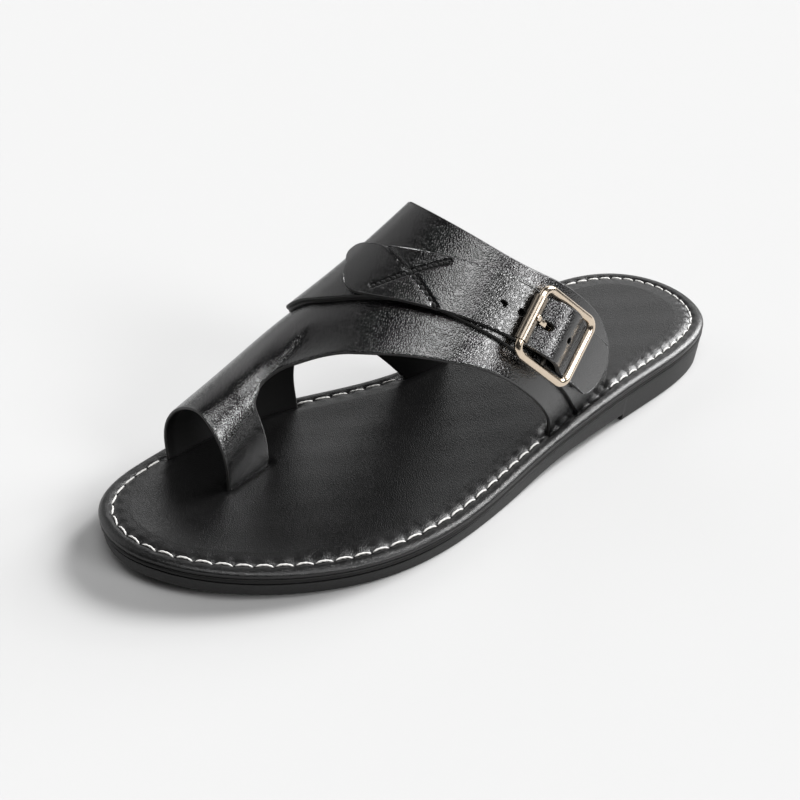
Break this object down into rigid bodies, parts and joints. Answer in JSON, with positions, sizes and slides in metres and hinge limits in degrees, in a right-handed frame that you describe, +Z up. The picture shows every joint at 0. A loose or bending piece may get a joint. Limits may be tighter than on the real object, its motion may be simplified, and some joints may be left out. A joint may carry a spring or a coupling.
{
  "type": "flat sandal",
  "caption": "Black leather slide sandal for the left foot: big-toe loop, wide instep band and buckled strap over a stitched footbed on a low-heeled sole.",
  "frame": {"origin": "on the floor, under the middle of the sandal's box", "axes": "+Z up, -Y to the toe and +Y to the heel, +X to the outer side of the left foot"},
  "size_m": [0.1005, 0.2488, 0.0893],
  "materials": {
    "outsole": "matte moulded",
    "midsole": "wrapped edge, satin",
    "insole": "smooth padded, satin, white thread at the edge",
    "upper": "fine pebble grain, semi-gloss",
    "strap": "fine pebble grain, semi-gloss",
    "buckle": "polished pale gold"
  },
  "bodies": {
    "root": {"outsole": "outsole", "midsole": "midsole", "insole": "insole", "upper": "upper", "buckle_strap": "strap", "buckle_frame": "buckle", "buckle_roller": "buckle", "buckle_prong": "buckle"}
  },
  "joints": []
}
